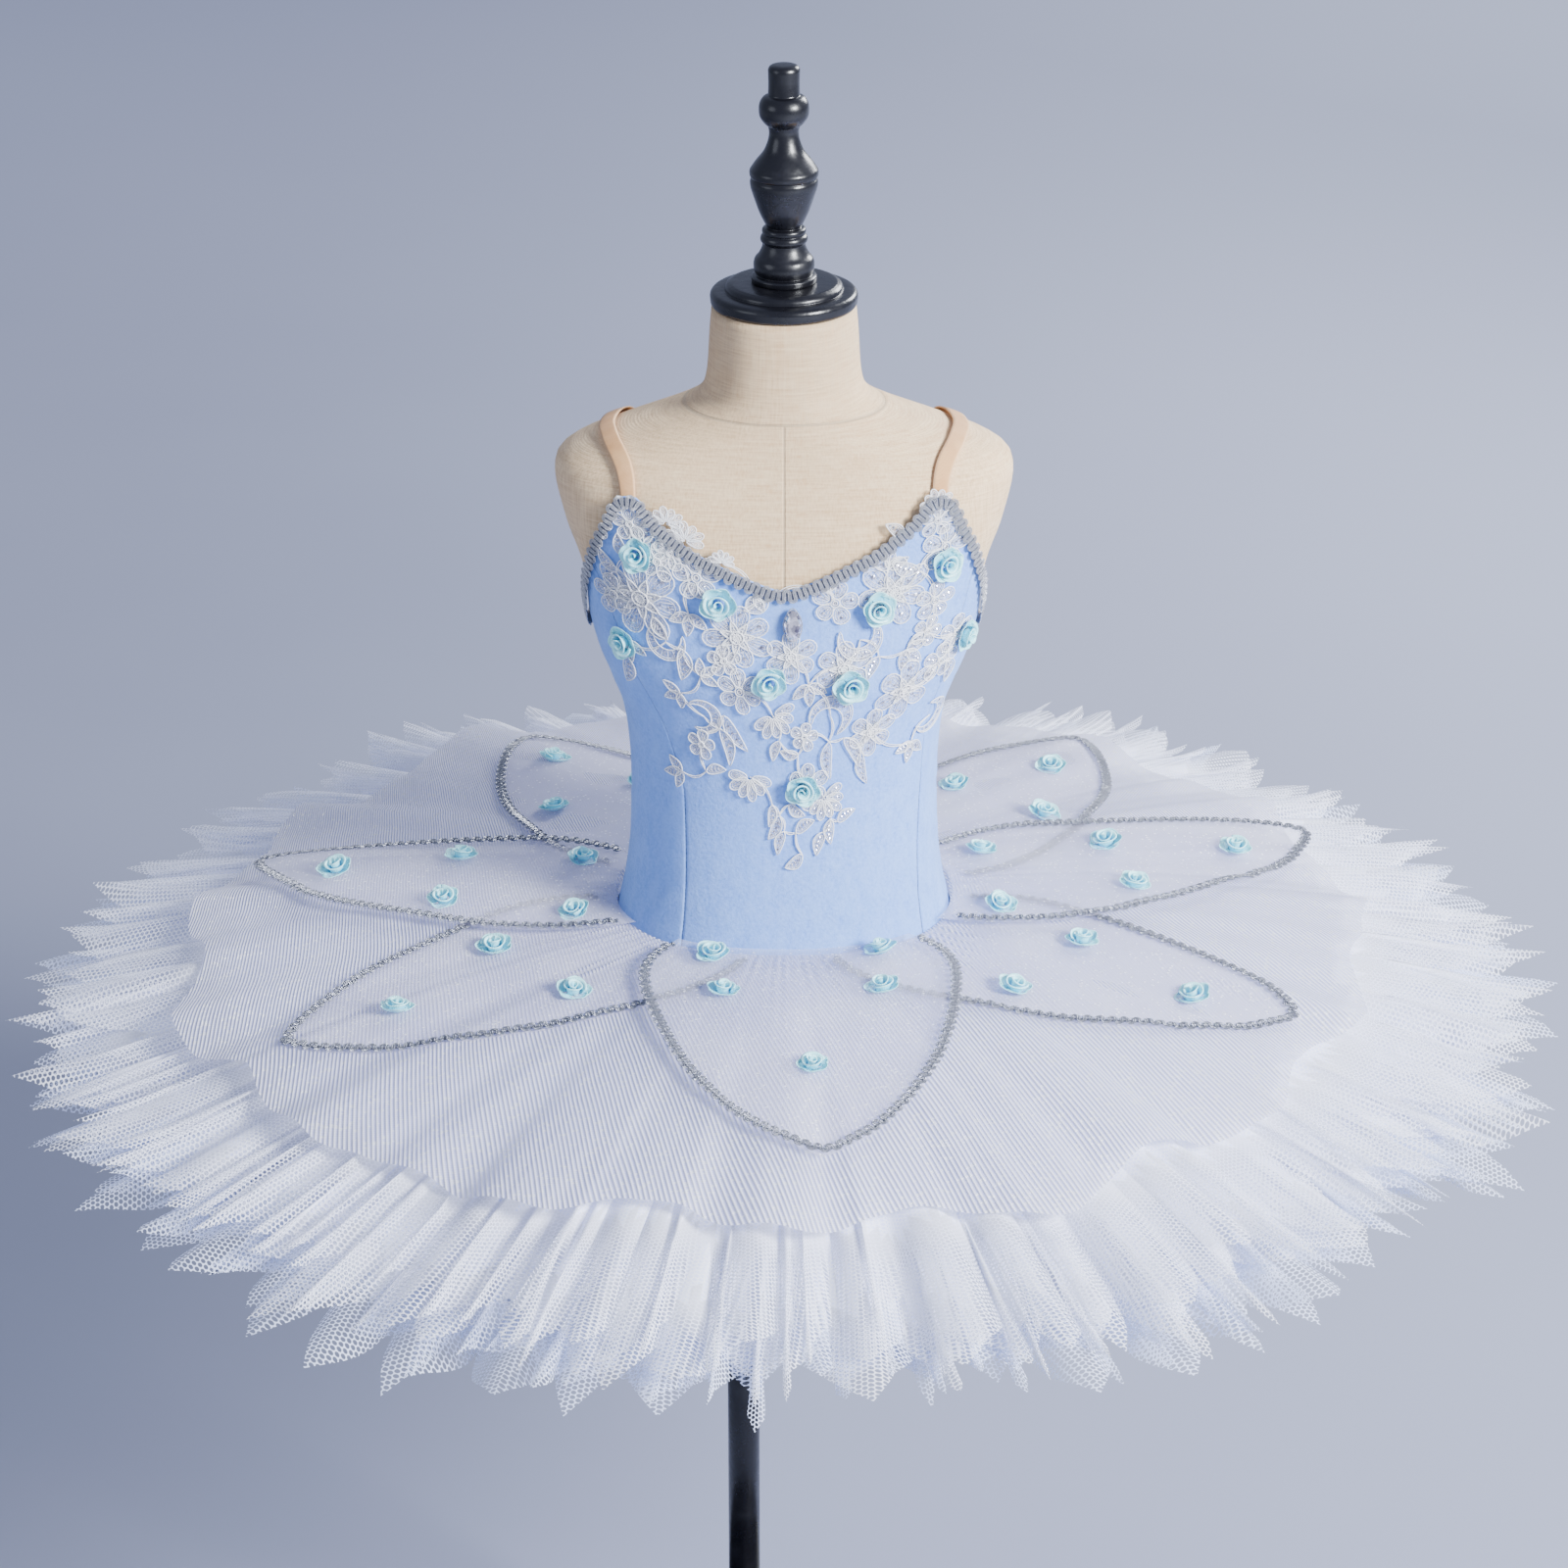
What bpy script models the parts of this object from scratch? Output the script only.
"""A child's classical tutu on the limbless dress form and pole stand that carries it.

Blender 4.5, metres, +Z up. The front faces -Y, the wearer's left is +X. The origin is on the floor,
under the middle of the form. Heights in the tables are measured from the hip line, where the skirt
leaves the bodice, and HIP_LINE lifts them to the floor's frame.
"""
import math
from collections import namedtuple

import bmesh
import bpy
from mathutils import Vector, geometry

# Driving dimensions
HIP_LINE = 0.600            # height of the skirt's seam above the floor
WALL = 0.0012               # cloth
SEAM = 0.0003               # clearance between neighbouring pieces
POLE_OFFSET = -0.0255       # the pole leaves the form through the right leg opening
POLE_RADIUS = 0.0100
BASE_RADIUS = 0.150
BASE_THICKNESS = 0.012
BODY_RADIUS = 0.090         # mean radius of the body, to turn lengths round it into angles

# The form, from the neck's top to its flat bottom
Section = namedtuple("Section", "height half_width front back squareness")
FORM_SECTIONS = [
    Section(0.3732, 0.0408, 0.0405, 0.0405, 2.0),
    Section(0.3600, 0.0420, 0.0415, 0.0415, 2.0),
    Section(0.3334, 0.0440, 0.0425, 0.0430, 2.0),
    Section(0.3220, 0.0490, 0.0440, 0.0460, 2.0),
    Section(0.3130, 0.0645, 0.0455, 0.0500, 2.1),
    Section(0.3020, 0.0960, 0.0490, 0.0545, 2.2),
    Section(0.2915, 0.1220, 0.0530, 0.0590, 2.3),
    Section(0.2790, 0.1310, 0.0585, 0.0630, 2.4),
    Section(0.2500, 0.1255, 0.0685, 0.0700, 2.4),
    Section(0.2250, 0.1170, 0.0745, 0.0735, 2.4),
    Section(0.1790, 0.1060, 0.0775, 0.0730, 2.4),
    Section(0.1580, 0.0988, 0.0755, 0.0700, 2.3),
    Section(0.1370, 0.0910, 0.0725, 0.0660, 2.3),
    Section(0.1070, 0.0873, 0.0695, 0.0620, 2.3),
    Section(0.0770, 0.0868, 0.0690, 0.0610, 2.3),
    Section(0.0460, 0.0880, 0.0710, 0.0650, 2.3),
    Section(0.0200, 0.0912, 0.0745, 0.0725, 2.3),
    Section(-0.0050, 0.0962, 0.0785, 0.0810, 2.3),
    Section(-0.0500, 0.1020, 0.0805, 0.0890, 2.3),
    Section(-0.1000, 0.1010, 0.0790, 0.0870, 2.3),
    Section(-0.1380, 0.0950, 0.0745, 0.0815, 2.3),
    Section(-0.1530, 0.0890, 0.0700, 0.0760, 2.3),
]


def spline(rows, position, column):
    """A Catmull-Rom value of one column at a fractional row."""
    last = len(rows) - 1
    index = min(max(int(position), 0), last - 1)
    t = position - index
    p0, p1, p2, p3 = (rows[min(max(index + k, 0), last)][column] for k in (-1, 0, 1, 2))
    slope_1 = (p2 - p0) / 2
    slope_2 = (p3 - p1) / 2
    return ((2 * t ** 3 - 3 * t ** 2 + 1) * p1 + (t ** 3 - 2 * t ** 2 + t) * slope_1
            + (3 * t ** 2 - 2 * t ** 3) * p2 + (t ** 3 - t ** 2) * slope_2)


def row_at(height):
    """The fractional row of FORM_SECTIONS whose height is the one asked for."""
    low, high = 0.0, len(FORM_SECTIONS) - 1.0
    for _ in range(40):
        middle = (low + high) / 2
        if spline(FORM_SECTIONS, middle, 0) > height:
            low = middle
        else:
            high = middle
    return (low + high) / 2


def form_row_point(row, angle):
    """A point of the form's skin; angle 0 is the front, and pi / 2 the wearer's left."""
    height, half_width, front, back, squareness = (spline(FORM_SECTIONS, row, c) for c in range(5))
    across, along = math.sin(angle), math.cos(angle)
    depth = front if along > 0 else back
    x = half_width * math.copysign(abs(across) ** (2 / squareness), across)
    y = -depth * math.copysign(abs(along) ** (2 / squareness), along)
    return Vector((x, y, HIP_LINE + height))


def form_point(height, angle, out=0.0):
    """A point of the form's skin at a height from the hip line, moved out along the normal."""
    row = row_at(height)
    point = form_row_point(row, angle)
    if out == 0.0:
        return point
    step = 0.02
    round_ = form_row_point(row, angle + step) - form_row_point(row, angle - step)
    next_row = min(row + 0.05, len(FORM_SECTIONS) - 1)
    down = form_row_point(next_row, angle) - form_row_point(row - 0.05, angle)
    normal = round_.cross(down)
    if normal.dot(Vector((point.x, point.y, 0))) < 0:
        normal.negate()
    return point + normal.normalized() * out


def form_angle(bearing, height):
    """The skin angle whose point lies at a bearing, seen from above, at a height."""
    row = row_at(height)
    half_width, front, back, squareness = (spline(FORM_SECTIONS, row, c) for c in range(1, 5))
    depth = front if math.cos(bearing) > 0 else back
    across = (abs(math.sin(bearing)) / half_width) ** (squareness / 2)
    along = (abs(math.cos(bearing)) / depth) ** (squareness / 2)
    return math.atan2(math.copysign(across, math.sin(bearing)), math.copysign(along, math.cos(bearing)))


def table_value(rows, at):
    """A value read from a table of (at, value) rows, straight between them."""
    if at <= rows[0][0]:
        return rows[0][1]
    for (a, value_a), (b, value_b) in zip(rows, rows[1:]):
        if at <= b:
            return value_a + (value_b - value_a) * (at - a) / (b - a)
    return rows[-1][1]


# ---------------------------------------------------------------- building helpers

def clear_scene():
    for obj in list(bpy.data.objects):
        bpy.data.objects.remove(obj, do_unlink=True)


def new_collection(name):
    collection = bpy.data.collections.new(name)
    bpy.context.scene.collection.children.link(collection)
    return collection


def material(name, colour, roughness, metallic=0.0):
    made = bpy.data.materials.new(name)
    made.use_nodes = True
    shader = made.node_tree.nodes["Principled BSDF"]
    shader.inputs["Base Color"].default_value = (*colour, 1.0)
    shader.inputs["Roughness"].default_value = roughness
    shader.inputs["Metallic"].default_value = metallic
    return made


def add_object(name, mesh, finish, smooth=True):
    mesh.materials.append(finish)
    if smooth:
        mesh.shade_smooth()
        mesh.set_sharp_from_angle(angle=math.radians(40))
    obj = bpy.data.objects.new(name, mesh)
    PARTS.objects.link(obj)
    return obj


def grid_mesh(name, rows, closed=False):
    """An open surface through equal rows of points; closed joins each row's two ends."""
    mesh = bpy.data.meshes.new(name)
    width = len(rows[0])
    points = [point for row in rows for point in row]
    steps = width if closed else width - 1
    faces = []
    for i in range(len(rows) - 1):
        for j in range(steps):
            k = (j + 1) % width
            faces.append((i * width + j, (i + 1) * width + j, (i + 1) * width + k, i * width + k))
    mesh.from_pydata(points, [], faces)
    return mesh


def cloth(name, rows, finish, closed=False, thickness=WALL, even=True):
    """A cloth wall: an open surface that Solidify thickens on the side of its normals."""
    obj = add_object(name, grid_mesh(name, rows, closed), finish)
    solidify = obj.modifiers.new("cloth", "SOLIDIFY")
    solidify.thickness = thickness
    solidify.offset = 1.0
    solidify.use_even_offset = even
    return obj


def turned(name, profile, finish, steps, centre=(0.0, 0.0)):
    """A solid turned about a vertical axis, from a profile that runs down its outer side."""
    mesh = bpy.data.meshes.new(name)
    mesh.from_pydata([(r, 0.0, z) for r, z in profile], [(i, i + 1) for i in range(len(profile) - 1)], [])
    obj = add_object(name, mesh, finish, smooth=False)
    obj.location = (centre[0], centre[1], 0.0)
    screw = obj.modifiers.new("turn", "SCREW")
    screw.angle = math.tau
    screw.steps = steps
    screw.render_steps = steps
    screw.use_merge_vertices = True
    screw.merge_threshold = 0.00005
    screw.use_smooth_shade = True
    return obj


# ---------------------------------------------------------------- the form and its stand

FORM_COLUMNS = 28
FORM_HEIGHTS = [0.3732, 0.345, 0.331, 0.320, 0.309, 0.300, 0.2915, 0.280, 0.265, 0.240, 0.212, 0.190,
                0.174, 0.160, 0.148, 0.136, 0.122, 0.100, 0.060, 0.020, -0.020, -0.070, -0.125, -0.153]
FORM_BOTTOM = HIP_LINE + FORM_HEIGHTS[-1]

FINIAL_PROFILE = [
    (0.0, 0.5110), (0.0070, 0.5098), (0.0089, 0.5065), (0.0089, 0.4935), (0.0128, 0.4900),
    (0.0140, 0.4850), (0.0126, 0.4800), (0.0088, 0.4765), (0.0086, 0.4700), (0.0112, 0.4625),
    (0.0186, 0.4525), (0.0191, 0.4495), (0.0184, 0.4475), (0.0189, 0.4450), (0.0176, 0.4390),
    (0.0140, 0.4280), (0.0096, 0.4190), (0.0120, 0.4165), (0.0120, 0.4135), (0.0126, 0.4100),
    (0.0120, 0.4060), (0.0162, 0.4020), (0.0170, 0.3965), (0.0160, 0.3915), (0.0180, 0.3900),
    (0.0180, 0.3873), (0.0, 0.3873),
]
CAP_PROFILE = [
    (0.0, 0.3870), (0.0290, 0.3866), (0.0325, 0.3850), (0.0335, 0.3825), (0.0400, 0.3818),
    (0.0414, 0.3800), (0.0414, 0.3752), (0.0405, 0.3735), (0.0, 0.3735),
]
FLANGE_PROFILE = [
    (0.0, -0.0003), (0.0180, -0.0003), (0.0180, -0.0050), (0.0135, -0.0080), (0.0135, -0.0260),
    (0.0, -0.0260),
]
FOOT_RADIUS = 0.015         # the socket in the middle of the base that holds the pole
FOOT_HEIGHT = 0.017
TURNED_STEPS = 14


def lifted(profile, base=HIP_LINE):
    return [(radius, base + height) for radius, height in profile]


def build_form(finish):
    rows = []
    for height in FORM_HEIGHTS:
        row = row_at(height)
        rows.append([form_row_point(row, math.tau * k / FORM_COLUMNS) for k in range(FORM_COLUMNS)])
    mesh = grid_mesh("form_torso", rows, closed=True)
    shell = bmesh.new()
    shell.from_mesh(mesh)
    shell.verts.ensure_lookup_table()
    last = len(shell.verts) - FORM_COLUMNS
    shell.faces.new([shell.verts[k] for k in range(FORM_COLUMNS)])
    shell.faces.new([shell.verts[last + k] for k in reversed(range(FORM_COLUMNS))])
    bmesh.ops.recalc_face_normals(shell, faces=shell.faces)
    shell.to_mesh(mesh)
    shell.free()
    add_object("form_torso", mesh, finish)


def build_stand(lacquer):
    turned("neck_cap", lifted(CAP_PROFILE), lacquer, TURNED_STEPS + 4)
    turned("finial", lifted(FINIAL_PROFILE), lacquer, TURNED_STEPS)
    pole_place = (POLE_OFFSET, 0.0)
    turned("pole_flange", lifted(FLANGE_PROFILE, FORM_BOTTOM), lacquer, TURNED_STEPS, pole_place)
    foot_top = BASE_THICKNESS + FOOT_HEIGHT
    pole_top = FORM_BOTTOM + FLANGE_PROFILE[-1][1] - SEAM
    pole_foot = foot_top + SEAM
    pole = [(0.0, pole_top), (POLE_RADIUS, pole_top), (POLE_RADIUS, pole_foot), (0.0, pole_foot)]
    turned("pole", pole, lacquer, TURNED_STEPS, pole_place)
    base = [(0.0, foot_top), (FOOT_RADIUS, foot_top), (FOOT_RADIUS + 0.001, BASE_THICKNESS + 0.004),
            (2 * FOOT_RADIUS, BASE_THICKNESS), (BASE_RADIUS - 0.004, BASE_THICKNESS - 0.001),
            (BASE_RADIUS, BASE_THICKNESS - 0.005), (BASE_RADIUS, 0.0), (0.0, 0.0)]
    turned("stand_base", base, lacquer, TURNED_STEPS + 8, pole_place)


# ---------------------------------------------------------------- the bodice

CLOTH_GAP = 0.0022          # the cloth stands this far off the form's skin
BODICE_BOTTOM = -0.004
LACE_OUT = CLOTH_GAP + WALL + 0.0018        # underside of the lace, off the form's skin
# The top edge, from the centre front round to the centre back: (degrees, height)
TOP_EDGE = [(0, 0.2295), (9, 0.2385), (20, 0.2500), (30, 0.2655), (34.5, 0.2775), (41, 0.2765),
            (46, 0.2630), (57, 0.2430), (66, 0.2280), (78, 0.2020), (90, 0.1870), (104, 0.1850),
            (122, 0.2000), (142, 0.2260), (147, 0.2260), (156, 0.2030), (168, 0.1860), (180, 0.1820)]
# The seams between the bodice's panels: (height, degrees)
SEAM_RIGHT = [(-0.004, -35), (0.100, -37), (0.160, -47), (0.240, -60)]
SEAM_LEFT = [(-0.004, 54), (0.100, 60), (0.160, 58), (0.240, 60)]
SIDE_RIGHT = [(0.0, -90)]
SIDE_LEFT = [(0.0, 90)]
ROUND_BACK = [(0.0, 270)]   # the right side seam, reached round the back
FRONT_COLUMNS = [-60, -50, -41, -34.5, -24, -12, 0, 12, 24, 34.5, 41, 50, 60]
SIDE_COLUMNS = [60, 67, 75, 83, 90]
BACK_COLUMNS = [90, 101, 112, 123, 133, 142, 147, 157, 168, 180]
BODICE_ROWS = 10


def top_edge(degrees):
    return table_value(TOP_EDGE, min(abs(degrees), 360 - abs(degrees)))


def panel_rows(columns, start, end):
    """Points of a bodice panel between the seams start and end."""
    first, last = columns[0], columns[-1]
    inset = SEAM / 2 / BODY_RADIUS
    rows = []
    for i in range(BODICE_ROWS + 1):
        points = []
        for column in columns:
            share = (column - first) / (last - first)
            height = BODICE_BOTTOM + (top_edge(column) - BODICE_BOTTOM) * (1 - i / BODICE_ROWS)
            low, high = table_value(start, height), table_value(end, height)
            inward = inset * ((column == first) - (column == last))
            angle = math.radians(low + (high - low) * share) + inward
            points.append(form_point(height, angle, CLOTH_GAP))
        rows.append(points)
    return rows


def build_bodice(finish):
    right_columns = [-column for column in reversed(SIDE_COLUMNS)]
    whole_back = BACK_COLUMNS + [360 - column for column in reversed(BACK_COLUMNS[:-1])]
    cloth("bodice_front", panel_rows(FRONT_COLUMNS, SEAM_RIGHT, SEAM_LEFT), finish)
    cloth("bodice_side_right", panel_rows(right_columns, SIDE_RIGHT, SEAM_RIGHT), finish)
    cloth("bodice_side_left", panel_rows(SIDE_COLUMNS, SEAM_LEFT, SIDE_LEFT), finish)
    cloth("bodice_back", panel_rows(whole_back, SIDE_LEFT, ROUND_BACK), finish)


# ---------------------------------------------------------------- straps, braid and brief

STRAP_HALF_WIDTH = 0.0047
STRAP_OUT = 0.0018
STRAP_THICKNESS = 0.0010
STRAP_FRONT = 37.75         # skin angle of its front end, degrees
STRAP_HALF_ANGLE = 2.7
STRAP_BACK = 144.5          # bearing of its back end, degrees
STRAP_STEPS = 14
STRAP_DROPS = 4             # steps from the shoulder blade down to the back panel
# The strap's centre line over the shoulder: (y, x), front to back
STRAP_ROUTE = [(-0.0430, 0.0880), (-0.0250, 0.0965), (0.0, 0.1010), (0.0280, 0.0960), (0.0540, 0.0855)]
BRAID_WIDTH = 0.0065
BRAID_THICKNESS = 0.0014
BRAID_OUT = LACE_OUT + WALL + 0.0005        # underside of the edge braid, off the form's skin
BRAID_STEP = 10             # degrees round the body
BRAID_STEEPEST = 1.6        # how much taller the braid stands where the edge is steep, at most


def shoulder_height(x, y):
    """The height of the form's skin above a point of the plan, on the shoulders."""
    low, high = row_at(0.372), row_at(0.200)
    for _ in range(30):
        row = (low + high) / 2
        half_width, front, back, squareness = (spline(FORM_SECTIONS, row, c) for c in range(1, 5))
        depth = front if y < 0 else back
        inside = (abs(x) / half_width) ** squareness + (abs(y) / depth) ** squareness < 1
        low, high = (low, row) if inside else (row, high)
    return spline(FORM_SECTIONS, row, 0)


def strap_row(side, y, x):
    row = []
    for edge in (-1, 0, 1):
        across = side * (x + edge * STRAP_HALF_WIDTH)
        row.append(Vector((across, y, HIP_LINE + shoulder_height(across, y))))
    return row


def build_strap(name, side, finish):
    """A ribbon from the front corner of the bodice over the shoulder to the back's corner."""
    front_angles = [math.radians(STRAP_FRONT + edge * STRAP_HALF_ANGLE) for edge in (-1, 0, 1)]
    front_height = max(height for _, height in TOP_EDGE) + 2 * SEAM
    rows = [[form_point(front_height, side * angle) for angle in front_angles]]
    first, last = STRAP_ROUTE[0][0], STRAP_ROUTE[-1][0]
    for i in range(STRAP_STEPS + 1):
        y = first + (last - first) * i / STRAP_STEPS
        rows.append(strap_row(side, y, table_value(STRAP_ROUTE, y)))
    down_from = rows[-1]
    corner = math.radians(STRAP_BACK)
    foot_height = top_edge(STRAP_BACK) + 2 * SEAM
    half = STRAP_HALF_WIDTH / BODY_RADIUS
    for i in range(1, STRAP_DROPS + 1):
        share = i / STRAP_DROPS
        height = (down_from[1].z - HIP_LINE) * (1 - share) + foot_height * share
        start_bearing = math.atan2(abs(down_from[1].x), -down_from[1].y)
        bearing = start_bearing + (corner - start_bearing) * share
        row = [form_point(height, side * form_angle(bearing - edge * half, height)) for edge in (-1, 0, 1)]
        rows.append(row)
    lifted_rows = []
    for i, row in enumerate(rows):
        before, after = rows[max(i - 1, 0)], rows[min(i + 1, len(rows) - 1)]
        normal = (after[1] - before[1]).cross(row[2] - row[0]).normalized()
        if normal.dot(row[1] - Vector((0, 0, HIP_LINE + 0.15))) < 0:
            normal.negate()
        lifted_rows.append([point + normal * STRAP_OUT for point in row])
    if side > 0:
        lifted_rows = [list(reversed(row)) for row in lifted_rows]
    cloth(name, lifted_rows, finish, thickness=STRAP_THICKNESS)


def build_edge_braid(finish):
    """The gimp braid that covers the bodice's top edge, all the way round."""
    angles = sorted({degrees for degrees, _ in TOP_EDGE} | set(range(0, 181, BRAID_STEP)))
    angles = angles + [360 - degrees for degrees in reversed(angles[1:-1])]
    one_degree = math.radians(1) * BODY_RADIUS
    upper, lower = [], []
    for degrees in angles:
        height = top_edge(degrees) - SEAM
        slope = (top_edge(degrees + 1) - top_edge(degrees - 1)) / (2 * one_degree)
        drop = BRAID_WIDTH * min(math.sqrt(1 + slope * slope), BRAID_STEEPEST)
        angle = math.radians(degrees)
        upper.append(form_point(height, angle, BRAID_OUT))
        lower.append(form_point(height - drop, angle, BRAID_OUT))
    cloth("edge_braid", [upper, lower], finish, closed=True, thickness=BRAID_THICKNESS)


BRIEF_TOP = -0.0046
LEG_SIDE = -0.072           # top of the leg openings, at the sides
GUSSET_LEAN = 0.301         # turns the panels' lower ends to one side of the pole, radians
GUSSET_SHARE = 0.178        # the gusset's part of a panel's lower edge
BRIEF_BOTTOM = -0.148
BRIEF_ROWS = 6
BRIEF_SHARES = [0.30, 0.42, 0.56, 0.70, 0.85, 1]        # columns outside the gusset's part
GUSSET_STEPS = [-1, -0.5, 0, 0.5, 1]
GUSSET_BEND = 0.0015        # where it turns under the form
GUSSET_GAP = 0.0016         # from a panel's lower edge down to the gusset's
# The leg opening, from the centre front: (share of the panel's half width, height)
LEG_EDGE = [(0.0, BRIEF_BOTTOM), (GUSSET_SHARE, BRIEF_BOTTOM), (0.42, -0.128), (0.70, -0.100),
            (1.0, LEG_SIDE)]


def brief_rows(facing):
    """One panel of the brief, from the hip line down to the leg openings and under the form.

    facing is 0 for the front and pi for the back.
    """
    shares = [-share for share in reversed(BRIEF_SHARES)] + [-GUSSET_SHARE, 0, GUSSET_SHARE] + BRIEF_SHARES
    rows = []
    seam = SEAM / 2 / BODY_RADIUS
    for i in range(BRIEF_ROWS + 1):
        row = []
        for share in shares:
            bottom = table_value(LEG_EDGE, abs(share))
            height = BRIEF_TOP + (bottom - BRIEF_TOP) * i / BRIEF_ROWS
            lean = GUSSET_LEAN * (i / BRIEF_ROWS) * (1 - abs(share))
            angle = facing + share * (math.pi / 2 - seam) + (lean if facing == 0 else -lean)
            row.append(form_point(height, angle, CLOTH_GAP))
        rows.append(row)
    return rows


def build_gusset(finish):
    """The gusset joins the two panels of the brief under the form, beside the pole."""
    under = FORM_BOTTOM - CLOTH_GAP
    below_panel = HIP_LINE + BRIEF_BOTTOM - GUSSET_GAP
    shares = [GUSSET_SHARE * step for step in GUSSET_STEPS]
    angles = [share * math.pi / 2 + GUSSET_LEAN * (1 - abs(share)) for share in shares]
    fronts = [form_point(BRIEF_BOTTOM, angle, CLOTH_GAP) for angle in angles]
    backs = [form_point(BRIEF_BOTTOM, math.pi - angle, CLOTH_GAP) for angle in angles]
    bend = GUSSET_BEND
    rows = [
        [Vector((p.x, p.y, below_panel)) for p in fronts],
        [Vector((p.x, p.y, under + bend)) for p in fronts],
        [Vector((p.x, p.y + 2 * bend, under)) for p in fronts],
        [Vector((p.x, 0.0, under)) for p in fronts],
        [Vector((p.x, p.y - 2 * bend, under)) for p in backs],
        [Vector((p.x, p.y, under + bend)) for p in backs],
        [Vector((p.x, p.y, below_panel)) for p in backs],
    ]
    cloth("brief_gusset", rows, finish)


# ---------------------------------------------------------------- the skirt

SKIRT_OUT = CLOTH_GAP + WALL + 0.0012       # inner edge of every layer, off the form's skin
PLATE_RISE = 0.003
PLATE_DROOP = 0.058         # how far the plate falls from the hip to the reference radius
PLATE_INNER = 0.100
PLATE_SPAN = 0.370
NET_POINTS = 38
NET_VALLEY = 0.030          # depth of the cut between two points
NET_RINGS = [0.0, 0.38, 0.80, 1.0]
Net = namedtuple("Net", "name radius hip_drop rim_drop phase")
# The net layers under the plate; rim_drop adds to hip_drop, and phase counts in points
NETS = [
    Net("net_top", 0.472, 0.0060, 0.0040, 0.0),
    Net("net_middle", 0.466, 0.0135, 0.0130, 0.5),
    Net("net_lower", 0.456, 0.0210, 0.0240, 0.25),
]
NET_WAVE = 0.0042           # half height of the fold behind each point, at the rim
SWELL = [(5, 0.0030, 0.6), (7, 0.0025, 2.1), (11, 0.0016, 4.0)]     # (waves, half height, phase)
OVERLAY_RADIUS = 0.346
OVERLAY_LOBES = 15
OVERLAY_COLUMNS = 60
OVERLAY_LOBE = 0.009        # how far a lobe reaches past the mean edge
OVERLAY_WAVE = 0.0022
OVERLAY_RINGS = [0.0, 0.36, 0.70, 1.0]


def plate_height(radius, bearing):
    """The underside of the overlay, before its own folds, above the hip line."""
    share = max(radius - PLATE_INNER, 0.0) / PLATE_SPAN
    swell = sum(height * math.sin(waves * bearing + phase) for waves, height, phase in SWELL)
    return PLATE_RISE - PLATE_DROOP * share ** 2 + swell * share ** 2


def hip_edge(bearing, height):
    """The skirt's inner edge at a bearing and a height."""
    return form_point(height, form_angle(bearing, height), SKIRT_OUT)


def polar(bearing, radius, height):
    return Vector((radius * math.sin(bearing), -radius * math.cos(bearing), HIP_LINE + height))


def build_net(net, finish):
    """One net layer: a ring with a pointed rim and a fold behind each point."""
    columns = 2 * NET_POINTS
    rows = [[] for _ in NET_RINGS]
    for k in range(columns):
        bearing = math.tau * (k / 2 + net.phase) / NET_POINTS
        point_here = k % 2 == 0
        uneven = 0.006 * math.sin(3 * bearing + 5 * net.phase) + 0.005 * math.sin(k * 2.4)
        reach = net.radius + (uneven - 0.004 if point_here else uneven - NET_VALLEY)
        start = hip_edge(bearing, PLATE_RISE - net.hip_drop)
        inner = math.hypot(start.x, start.y)
        for ring, row in zip(NET_RINGS, rows):
            radius = inner + (min(reach, net.radius - NET_VALLEY) - inner) * ring / 0.9
            if ring == 1.0:
                radius = reach
            share = max(radius - inner, 0.0) / (net.radius - inner)
            fold = NET_WAVE * share * (1 if point_here else -1)
            drop = net.hip_drop + net.rim_drop * share
            row.append(polar(bearing, radius, plate_height(radius, bearing) - drop + fold))
    cloth(net.name, [list(reversed(row)) for row in rows], finish, closed=True, even=False)


def overlay_height(radius, bearing):
    """The overlay's underside with its soft radial folds."""
    share = max(radius - PLATE_INNER, 0.0) / (OVERLAY_RADIUS - PLATE_INNER)
    return plate_height(radius, bearing) + OVERLAY_WAVE * share ** 2 * math.cos(OVERLAY_LOBES * bearing)


def build_overlay(finish):
    rows = [[] for _ in OVERLAY_RINGS]
    for k in range(OVERLAY_COLUMNS):
        bearing = math.tau * k / OVERLAY_COLUMNS
        start = hip_edge(bearing, PLATE_RISE)
        inner = math.hypot(start.x, start.y)
        uneven = 0.004 * math.sin(4 * bearing)
        reach = OVERLAY_RADIUS + OVERLAY_LOBE * math.cos(OVERLAY_LOBES * bearing) + uneven
        for ring, row in zip(OVERLAY_RINGS, rows):
            radius = inner + (reach - inner) * ring
            row.append(polar(bearing, radius, overlay_height(radius, bearing)))
    cloth("skirt_overlay", [list(reversed(row)) for row in rows], finish, closed=True, even=False)


# ---------------------------------------------------------------- the petals of the overskirt

PETAL_LOW = 0.0014          # underside of a lower petal, above the overlay's underside
PETAL_HIGH = 0.0054         # underside of an upper petal, clear of a lower petal's braid
PETAL_BRAID_WIDTH = 0.0045
PETAL_BRAID_THICKNESS = 0.0013
PETAL_BRAID_GAP = 0.0005    # from the petal's top to the braid
PETAL_BRAID_START = 0.05    # share of the petal's length where the braid begins
PETAL_STEPS = [0.0, 0.18, 0.36, 0.53, 0.68, 0.81, 0.92, 1.0]
PETAL_ACROSS = [-1.0, -0.68, -0.34, 0.0, 0.34, 0.68, 1.0]
PETAL_ROOT_OUT = 0.0024     # extra clearance of the straight-sided root from the bodice
ROSE_RADIUS = 0.0095
ROSE_HEIGHT = 0.0075
ROSE_SIDES = 6
ROSE_SINK = 0.4             # how far a petal's roses sink into its cloth, as a share of the wall
PETAL_NEAR_TIP = 0.985      # share of the length where the edges turn in to the tip
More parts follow.
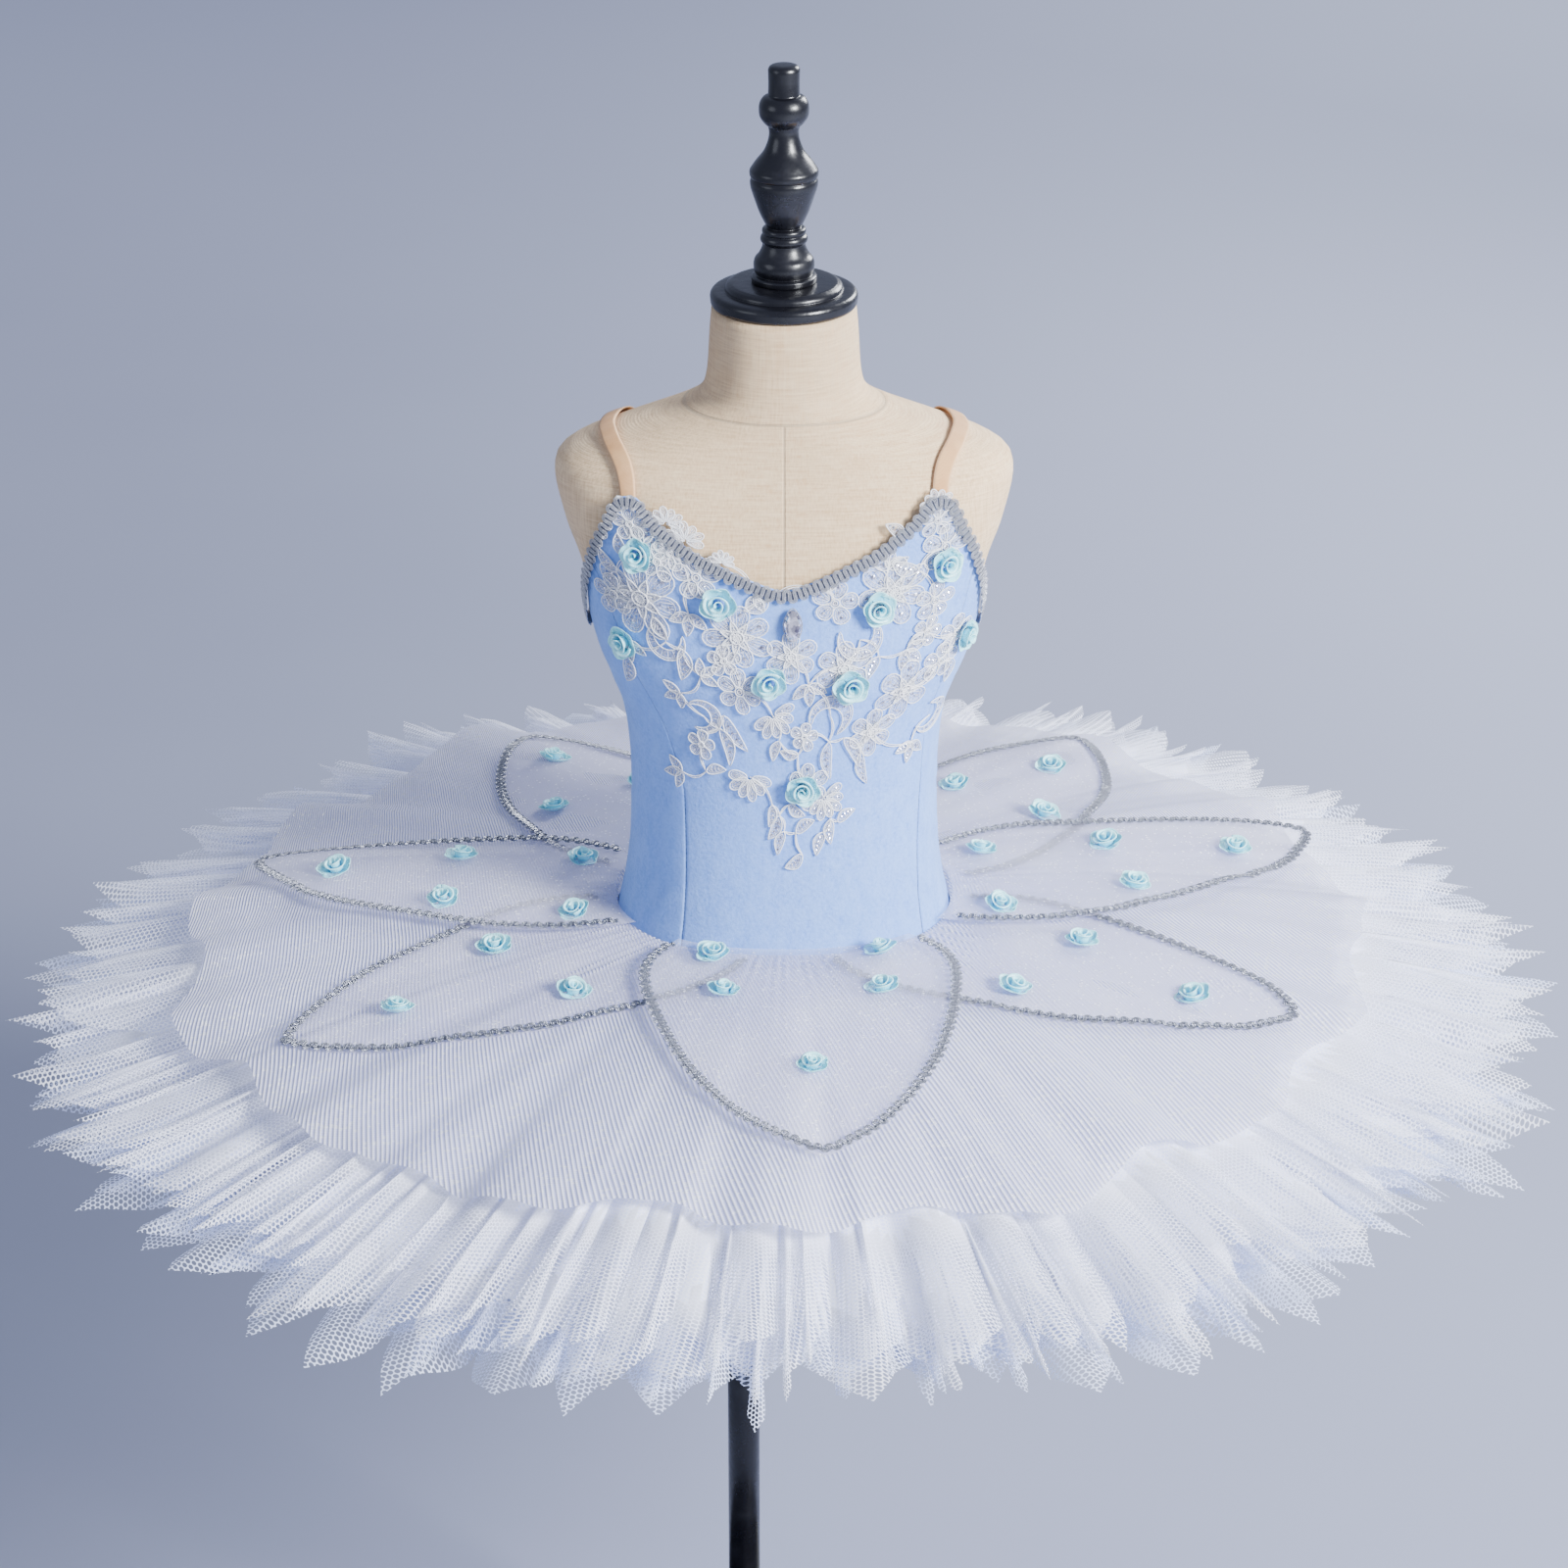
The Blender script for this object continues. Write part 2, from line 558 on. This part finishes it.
Petal = namedtuple("Petal", "name root_bearing tip_bearing length half_width lift "
                            "root_rose middle_rose tip_rose")
# bearings in degrees; a rose's value is its share of the length, root to tip
PETALS = [
    Petal("front", 5.0, 3.7, 0.298, 0.096, PETAL_HIGH, 0.06, 0.26, 0.62),
    Petal("front_left", 54.0, 67.5, 0.322, 0.077, PETAL_LOW, None, 0.38, 0.73),
    Petal("front_right", -53.0, -61.0, 0.328, 0.080, PETAL_LOW, None, 0.36, 0.70),
    Petal("side_left", 93.0, 112.0, 0.358, 0.068, PETAL_HIGH, 0.12, 0.43, 0.74),
    Petal("side_right", -89.0, -104.7, 0.340, 0.066, PETAL_HIGH, 0.12, 0.43, 0.74),
    Petal("back_left", 130.0, 144.0, 0.335, 0.074, PETAL_LOW, None, 0.43, 0.72),
    Petal("back_right", -137.0, -148.4, 0.322, 0.070, PETAL_LOW, None, 0.43, 0.74),
]
ROSE_SPREAD = 0.50          # a pair of roses stands this share of the half width off the middle
ROOT_SPREAD = 0.65


def petal_half_width(petal, share):
    swelling = 0.70 + 0.30 * math.sin(min(share / 0.35, 1.0) * math.pi / 2)
    return petal.half_width * swelling * max(1 - share ** 2.6, 0.0) ** 0.8


def petal_plan(petal, share, side):
    """Bearing and radius of a point of a petal; share runs root to tip, side runs -1 to 1."""
    across = petal_half_width(petal, share) * side
    bearing = math.radians(petal.root_bearing + (petal.tip_bearing - petal.root_bearing) * share)
    root = PLATE_INNER
    for _ in range(3):
        edge = hip_edge(bearing + math.atan2(across, root), PLATE_RISE + petal.lift)
        inner = math.hypot(edge.x, edge.y) + PETAL_ROOT_OUT
        root = math.sqrt(max(inner ** 2 - across ** 2, 0.0009))
    along = root + share * (petal.length - root)
    return bearing + math.atan2(across, along), math.hypot(across, along)


def petal_point(petal, share, side, up=0.0):
    bearing, radius = petal_plan(petal, share, side)
    return polar(bearing, radius, overlay_height(radius, bearing) + petal.lift + up)


def rose_mesh(places, sides=ROSE_SIDES):
    """Ribbon roses, one closed turned bud at each (foot, up) place."""
    profile = [(0.85, 0.0), (1.0, 0.55), (0.50, 1.0)]
    roses = bmesh.new()
    for foot, up in places:
        turn = up.to_track_quat("Z", "Y").to_matrix()
        rings = []
        for radius, height in profile:
            ring = []
            for k in range(sides):
                angle = math.tau * k / sides
                wobble = 1 + 0.05 * math.sin(3 * angle)
                flat = Vector((ROSE_RADIUS * radius * wobble * math.cos(angle),
                               ROSE_RADIUS * radius * wobble * math.sin(angle), ROSE_HEIGHT * height))
                ring.append(roses.verts.new(foot + turn @ flat))
            rings.append(ring)
        roses.faces.new(list(reversed(rings[0])))
        for lower, upper in zip(rings, rings[1:]):
            for k in range(sides):
                n = (k + 1) % sides
                roses.faces.new((lower[k], lower[n], upper[n], upper[k]))
        roses.faces.new(rings[-1])
    mesh = bpy.data.meshes.new("roses")
    roses.to_mesh(mesh)
    roses.free()
    return mesh


def petal_roses(petal):
    """The places of a petal's roses: (share, side)."""
    places = [(petal.middle_rose, -ROSE_SPREAD), (petal.middle_rose, ROSE_SPREAD), (petal.tip_rose, 0.0)]
    if petal.root_rose is not None:
        places += [(petal.root_rose, -ROOT_SPREAD), (petal.root_rose, ROOT_SPREAD)]
    return places


def build_petal(petal, finish):
    """An organza petal that lies on the overlay, with its roses sewn on."""
    rows = [[petal_point(petal, share, side) for side in PETAL_ACROSS] for share in PETAL_STEPS[:-1]]
    tip = petal_point(petal, 1.0, 0.0)
    rows.append([tip.lerp(petal_point(petal, PETAL_NEAR_TIP, side), 0.5) for side in PETAL_ACROSS])
    obj = cloth("petal_" + petal.name, rows, finish, even=False)
    sewn = WALL * (1 - ROSE_SINK)
    feet = [petal_point(petal, share, side, sewn) for share, side in petal_roses(petal)]
    roses = rose_mesh([(foot, Vector((0, 0, 1))) for foot in feet])
    cutter = bpy.data.objects.new("roses_" + petal.name, roses)
    GUIDES.objects.link(cutter)
    cutter.hide_render = True
    cutter.display_type = "WIRE"
    union = obj.modifiers.new("sew", "BOOLEAN")
    union.operation = "UNION"
    union.object = cutter


def build_petal_braid(petal, finish):
    """The braid along a petal's two edges, meeting at its tip."""
    steps = [PETAL_BRAID_START] + PETAL_STEPS[1:-1]
    lift = petal.lift + WALL + PETAL_BRAID_GAP
    outer = [petal_plan(petal, share, -1.0) for share in steps]
    outer.append(petal_plan(petal, PETAL_NEAR_TIP, -1.0))
    outer.append(petal_plan(petal, 1.0, 0.0))
    outer.append(petal_plan(petal, PETAL_NEAR_TIP, 1.0))
    outer += [petal_plan(petal, share, 1.0) for share in reversed(steps)]
    edge = [Vector((r * math.sin(b), -r * math.cos(b))) for b, r in outer]
    rows = []
    for i, here in enumerate(edge):
        before, after = edge[max(i - 1, 0)], edge[min(i + 1, len(edge) - 1)]
        along = (after - before).normalized()
        inward = Vector((-along.y, along.x))
        corners = []
        for shift in (2 * SEAM, PETAL_BRAID_WIDTH):
            place = here + inward * shift
            radius, bearing = place.length, math.atan2(place.x, -place.y)
            corners.append(polar(bearing, radius, overlay_height(radius, bearing) + lift))
        rows.append(corners)
    cloth("braid_" + petal.name, rows, finish, thickness=PETAL_BRAID_THICKNESS, even=False)


# ---------------------------------------------------------------- lace, roses and drop on the bodice

LACE_SCALE = 0.095          # metres round the bodice to a radian
LARGE_FLOWER = 0.0135       # smaller flowers have plainer petals
LACE_BAR = 0.0030           # width of the bars that join the motifs
LACE_MERGE = 0.0003         # points of the lace nearer than this are one
LACE_BEND = 0.0135          # spacing of the upright lines along which the lace bends
LACE_LEVELS = [0.140, 0.196, 0.223, 0.237, 0.250]       # heights of its level bends
SMALL_GAP = 24e-6           # gaps with less area than this, in square metres, are closed
Motif = namedtuple("Motif", "kind degrees height size turn")
# size is a flower's radius or a leaf's length in mm; turn is in degrees, 0 points up
MOTIFS = [
    Motif("flower", -41, 0.216, 19, 0),
    Motif("flower", -37, 0.246, 13, 20),
    Motif("sprig", -50, 0.192, 16, 160),
    Motif("flower", -11, 0.200, 16, 10),
    Motif("sprig", -23, 0.222, 16, 0),
    Motif("crescent", -34, 0.192, 11, 200),
    Motif("leaf", -27, 0.203, 26, 175),
    Motif("sprig", -27, 0.178, 17, 200),
    Motif("flower", -11, 0.170, 12, 0),
    Motif("crescent", -23, 0.153, 11, 90),
    Motif("flower", -29, 0.135, 10, 0),
    Motif("sprig", -32, 0.124, 16, 150),
    Motif("leaf", -17, 0.150, 30, 165),
    Motif("leaf", -20, 0.146, 28, 190),
    Motif("flower", -9, 0.113, 15, 30),
    Motif("flower", -2, 0.181, 15, 25),
    Motif("flower", 4, 0.140, 10, 15),
    Motif("flower", 14, 0.173, 14, 0),
    Motif("crescent", 12, 0.152, 11, 20),
    Motif("leaf", 16, 0.150, 28, 170),
    Motif("flower", 28, 0.141, 14, 0),
    Motif("leaf", 28, 0.132, 24, 180),
    Motif("flower", 38, 0.168, 17, 15),
    Motif("sprig", 50, 0.142, 17, 185),
    Motif("flower", 27, 0.222, 17, 0),
    Motif("flower", 44, 0.222, 14, 30),
    Motif("flower", 41, 0.246, 12, 0),
    Motif("flower", 57, 0.194, 12, 0),
    Motif("crescent", 19, 0.199, 11, 160),
    Motif("leaf", 25, 0.208, 34, 170),
    Motif("sprig", 9, 0.212, 17, -80),
    Motif("leaf", 3, 0.205, 28, 165),
    Motif("flower", 5, 0.107, 12, 0),
    Motif("leaf", 3, 0.132, 20, 180),
    Motif("sprig", 12, 0.098, 16, 180),
    Motif("leaf", -1, 0.098, 22, 175),
    Motif("sprig", 1, 0.080, 17, 185),
    Motif("leaf", 45, 0.154, 26, 10),
    Motif("leaf", -5, 0.214, 22, 100),
]
# The roses on the bodice: (degrees, height)
BODICE_ROSES = [(-36.4, 0.2457), (-14.2, 0.2227), (-49.6, 0.1923), (22.6, 0.2187), (43.0, 0.2399),
                (62.0, 0.1919), (-2.7, 0.1770), (16.7, 0.1741), (4.8, 0.1077)]
BODICE_ROSE_SIDES = 8
DROP_PLACE = (1.3, 0.2110)
DROP_OUTLINE = [(0.0, 0.0095), (0.0028, 0.0045), (0.0052, -0.0015), (0.0052, -0.0055), (0.0030, -0.0090),
                (-0.0030, -0.0090), (-0.0052, -0.0055), (-0.0052, -0.0015), (-0.0028, 0.0045)]
DROP_DEPTH = 0.0045
ORNAMENT_OUT = LACE_OUT + WALL + 0.0004     # back of a rose or the drop, off the form's skin


def leaf_outline(length, width):
    half = width / 2
    return [(0, 0), (half * 0.9, length * 0.3), (half * 0.85, length * 0.62), (0, length),
            (-half * 0.85, length * 0.62), (-half * 0.9, length * 0.3)]


def flower_outline(radius, petals=5):
    points = []
    corners = ((0.0, 0.80), (0.5, 1.04))
    if radius > LARGE_FLOWER:
        corners = ((0.0, 0.66), (0.28, 1.0), (0.72, 1.0))
    for k in range(petals):
        for turn, reach in corners:
            angle = math.tau * (k + turn) / petals
            points.append((-radius * reach * math.sin(angle), radius * reach * math.cos(angle)))
    return points


def crescent_outline(radius):
    outer = [math.radians(a) for a in (-130, -75, -20, 35, 90, 130)]
    inner = [math.radians(a) for a in (85, 20, -30, -85)]
    points = [(-radius * math.sin(a), radius * math.cos(a)) for a in outer]
    points += [(-radius * 0.55 * math.sin(a), radius * (0.55 * math.cos(a) - 0.12)) for a in inner]
    return points


def motif_outlines(motif):
    size = motif.size / 1000
    if motif.kind == "flower":
        shapes = [(flower_outline(size), 0)]
    elif motif.kind == "crescent":
        shapes = [(crescent_outline(size), 0)]
    elif motif.kind == "leaf":
        shapes = [(leaf_outline(size, size * 0.38), 0)]
    else:
        shapes = [(leaf_outline(size, size * 0.46), turn) for turn in (-62, 0, 62)]
    centre = (math.radians(motif.degrees) * LACE_SCALE, motif.height)
    outlines = []
    for points, extra in shapes:
        turn = math.radians(motif.turn + extra)
        outlines.append([(centre[0] + x * math.cos(turn) + y * math.sin(turn),
                          centre[1] - x * math.sin(turn) + y * math.cos(turn)) for x, y in points])
    return outlines


def fill_small_gaps(points, faces, filled):
    """Adds to filled the gaps that are too small to be cut through."""
    by_edge = {}
    for index, face in enumerate(faces):
        for a, b in zip(face, face[1:] + face[:1]):
            by_edge.setdefault(frozenset((a, b)), []).append(index)
    seen = set(filled)
    for start in range(len(faces)):
        if start in seen:
            continue
        group, stack, area, open_ = [], [start], 0.0, False
        seen.add(start)
        while stack:
            index = stack.pop()
            group.append(index)
            face = faces[index]
            (ax, ay), (bx, by), (cx, cy) = (points[v] for v in face)
            area += abs((bx - ax) * (cy - ay) - (by - ay) * (cx - ax)) / 2
            for a, b in zip(face, face[1:] + face[:1]):
                near = by_edge[frozenset((a, b))]
                open_ = open_ or len(near) == 1
                for other in near:
                    if other not in seen:
                        seen.add(other)
                        stack.append(other)
        if not open_ and area < SMALL_GAP:
            filled.update(group)


def outline_edges(faces, kept):
    """The edges round the kept faces, without the ones between two of them."""
    uses = {}
    for index in kept:
        face = faces[index]
        for a, b in zip(face, face[1:] + face[:1]):
            uses[frozenset((a, b))] = uses.get(frozenset((a, b)), 0) + 1
    return [tuple(sorted(edge)) for edge, count in uses.items() if count == 1]


def inside_edges(x, y, segments):
    """Whether a point lies within a set of closed outlines."""
    crossings = 0
    for (ax, ay), (bx, by) in segments:
        if (ay > y) != (by > y) and x < ax + (y - ay) * (bx - ax) / (by - ay):
            crossings += 1
    return crossings % 2 == 1


def face_groups(faces, kept):
    """The kept faces in groups that share edges."""
    by_edge = {}
    for index in sorted(kept):
        face = faces[index]
        for a, b in zip(face, face[1:] + face[:1]):
            by_edge.setdefault(frozenset((a, b)), []).append(index)
    groups, seen = [], set()
    for start in sorted(kept):
        if start in seen:
            continue
        group, stack = set(), [start]
        seen.add(start)
        while stack:
            index = stack.pop()
            group.add(index)
            face = faces[index]
            for a, b in zip(face, face[1:] + face[:1]):
                for other in by_edge[frozenset((a, b))]:
                    if other not in seen:
                        seen.add(other)
                        stack.append(other)
        groups.append(group)
    return groups


def bar_outline(start, end):
    """A short bar of cord from one motif to the next."""
    along = (end - start).normalized()
    across = Vector((-along.y, along.x)) * LACE_BAR / 2
    start, end = start - along * LACE_BAR, end + along * LACE_BAR
    return [start - across, end - across, end + across, start + across]


def merged_outlines(outlines):
    """The union of flat outlines as points and triangles, with the kept ones' numbers."""
    flat, loops = [], []
    for outline in outlines:
        loops.append(list(range(len(flat), len(flat) + len(outline))))
        flat += [Vector(point) for point in outline]
    merged = geometry.delaunay_2d_cdt(flat, [], loops, 0, LACE_MERGE, True)
    faces = [list(face) for face in merged[2]]
    return merged[0], faces, {index for index, origins in enumerate(merged[5]) if origins}


def joined_motifs():
    """The motifs as one flat shape: its corner points and the edges of its outlines and gaps."""
    outlines = [outline for motif in MOTIFS for outline in motif_outlines(motif)]
    points, faces, filled = merged_outlines(outlines)
    groups = face_groups(faces, filled)
    while len(groups) > 1:
        corners = [sorted({v for index in group for v in faces[index]}) for group in groups]
        pairs = [((points[a] - points[b]).length, a, b)
                 for first in range(len(groups)) for second in range(first)
                 for a in corners[first] for b in corners[second]]
        apart, a, b = min(pairs)
        outlines.append(bar_outline(points[a], points[b]))
        points, faces, filled = merged_outlines(outlines)
        groups = face_groups(faces, filled)
    fill_small_gaps(points, faces, filled)
    edges = outline_edges(faces, filled)
    used = sorted({v for edge in edges for v in edge})
    number = {v: k for k, v in enumerate(used)}
    return [tuple(points[v]) for v in used], [(number[a], number[b]) for a, b in sorted(edges)]


def bend_lines(points):
    """Lines the flat shape is folded along to follow the bodice, each as a pair of ends."""
    left, right = min(x for x, y in points) - 0.001, max(x for x, y in points) + 0.001
    low, high = min(y for x, y in points) - 0.001, max(y for x, y in points) + 0.001
    count = int((right - left) / LACE_BEND) + 1
    lines = [(left + k * LACE_BEND, low, left + k * LACE_BEND, high) for k in range(1, count)]
    return lines + [(left, level, right, level) for level in LACE_LEVELS]


def build_lace(finish):
    """Corded lace motifs joined into one applique, with the gaps between them cut through."""
    points, edges = joined_motifs()
    segments = [(points[a], points[b]) for a, b in edges]
    flat = [Vector(point) for point in points]
    for x0, y0, x1, y1 in bend_lines(points):
        edges.append((len(flat), len(flat) + 1))
        flat += [Vector((x0, y0)), Vector((x1, y1))]
    folded = geometry.delaunay_2d_cdt(flat, edges, [], 0, LACE_MERGE / 10, False)
    lace = bmesh.new()
    verts = {}
    for face in folded[2]:
        middle = sum((folded[0][v] for v in face), Vector((0, 0))) / len(face)
        if not inside_edges(middle.x, middle.y, segments):
            continue
        for v in face:
            if v not in verts:
                place = folded[0][v]
                verts[v] = lace.verts.new(form_point(place.y, place.x / LACE_SCALE, LACE_OUT))
        lace.faces.new([verts[v] for v in face])
    bmesh.ops.recalc_face_normals(lace, faces=lace.faces)
    lace.faces.ensure_lookup_table()
    first = lace.faces[0]
    if first.normal.dot(first.calc_center_median() - Vector((0, 0, HIP_LINE + 0.15))) < 0:
        bmesh.ops.reverse_faces(lace, faces=lace.faces)
    mesh = bpy.data.meshes.new("lace")
    lace.to_mesh(mesh)
    lace.free()
    obj = add_object("lace_applique", mesh, finish, smooth=False)
    solidify = obj.modifiers.new("cloth", "SOLIDIFY")
    solidify.thickness = WALL
    solidify.offset = 1.0


def skin_frame(height, degrees, out):
    """A place over the bodice, with its outward direction."""
    angle = math.radians(degrees)
    place = form_point(height, angle, out)
    return place, (place - form_point(height, angle)).normalized()


def build_bodice_roses(finish):
    for number, (degrees, height) in enumerate(BODICE_ROSES, 1):
        place, out = skin_frame(height, degrees, ORNAMENT_OUT)
        add_object("rose_bodice_%d" % number, rose_mesh([(place, out)], BODICE_ROSE_SIDES), finish)


def build_drop(finish):
    """The cut glass drop under the neckline, flat behind and domed in front."""
    place, out = skin_frame(DROP_PLACE[1], DROP_PLACE[0], ORNAMENT_OUT)
    across = Vector((0, 0, 1)).cross(out).normalized()
    up = out.cross(across)
    drop = bmesh.new()
    back, front = [], []
    for x, z in DROP_OUTLINE:
        back.append(drop.verts.new(place + across * x + up * z))
        front.append(drop.verts.new(place + across * x * 0.6 + up * z * 0.6 + out * DROP_DEPTH))
    drop.faces.new(back)
    drop.faces.new(list(reversed(front)))
    count = len(back)
    for k in range(count):
        n = (k + 1) % count
        drop.faces.new((back[n], back[k], front[k], front[n]))
    bmesh.ops.recalc_face_normals(drop, faces=drop.faces)
    mesh = bpy.data.meshes.new("drop")
    drop.to_mesh(mesh)
    drop.free()
    add_object("crystal_drop", mesh, finish, smooth=False)


clear_scene()
PARTS = new_collection("tutu_dress")
GUIDES = new_collection("guides")
LINEN = material("linen", (0.72, 0.62, 0.48), 0.8)
LACQUER = material("black_lacquer", (0.01, 0.01, 0.012), 0.15)
BODICE = material("bodice_cloth", (0.40, 0.55, 0.85), 0.7)
ELASTIC = material("strap_elastic", (0.85, 0.6, 0.45), 0.4)
GIMP = material("silver_gimp", (0.6, 0.6, 0.63), 0.35, 0.7)
build_form(LINEN)
build_stand(LACQUER)
build_bodice(BODICE)
build_strap("strap_right", -1, ELASTIC)
build_strap("strap_left", 1, ELASTIC)
build_edge_braid(GIMP)
cloth("brief_front", brief_rows(0.0), BODICE)
cloth("brief_back", brief_rows(math.pi), BODICE)
build_gusset(BODICE)
NET = material("net", (0.85, 0.88, 0.95), 0.8)
OVERLAY = material("overlay_mesh", (0.9, 0.9, 0.95), 0.5)
build_overlay(OVERLAY)
for net in NETS:
    build_net(net, NET)
ORGANZA = material("organza", (0.92, 0.92, 0.97), 0.4)
SATIN = material("rose_satin", (0.35, 0.78, 0.88), 0.35)
LACE = material("white_lace", (0.9, 0.92, 0.97), 0.6)
GLASS = material("cut_glass", (0.6, 0.6, 0.65), 0.1, 0.3)
for petal in PETALS:
    build_petal(petal, ORGANZA)
    build_petal_braid(petal, GIMP)
build_lace(LACE)
build_bodice_roses(SATIN)
build_drop(GLASS)
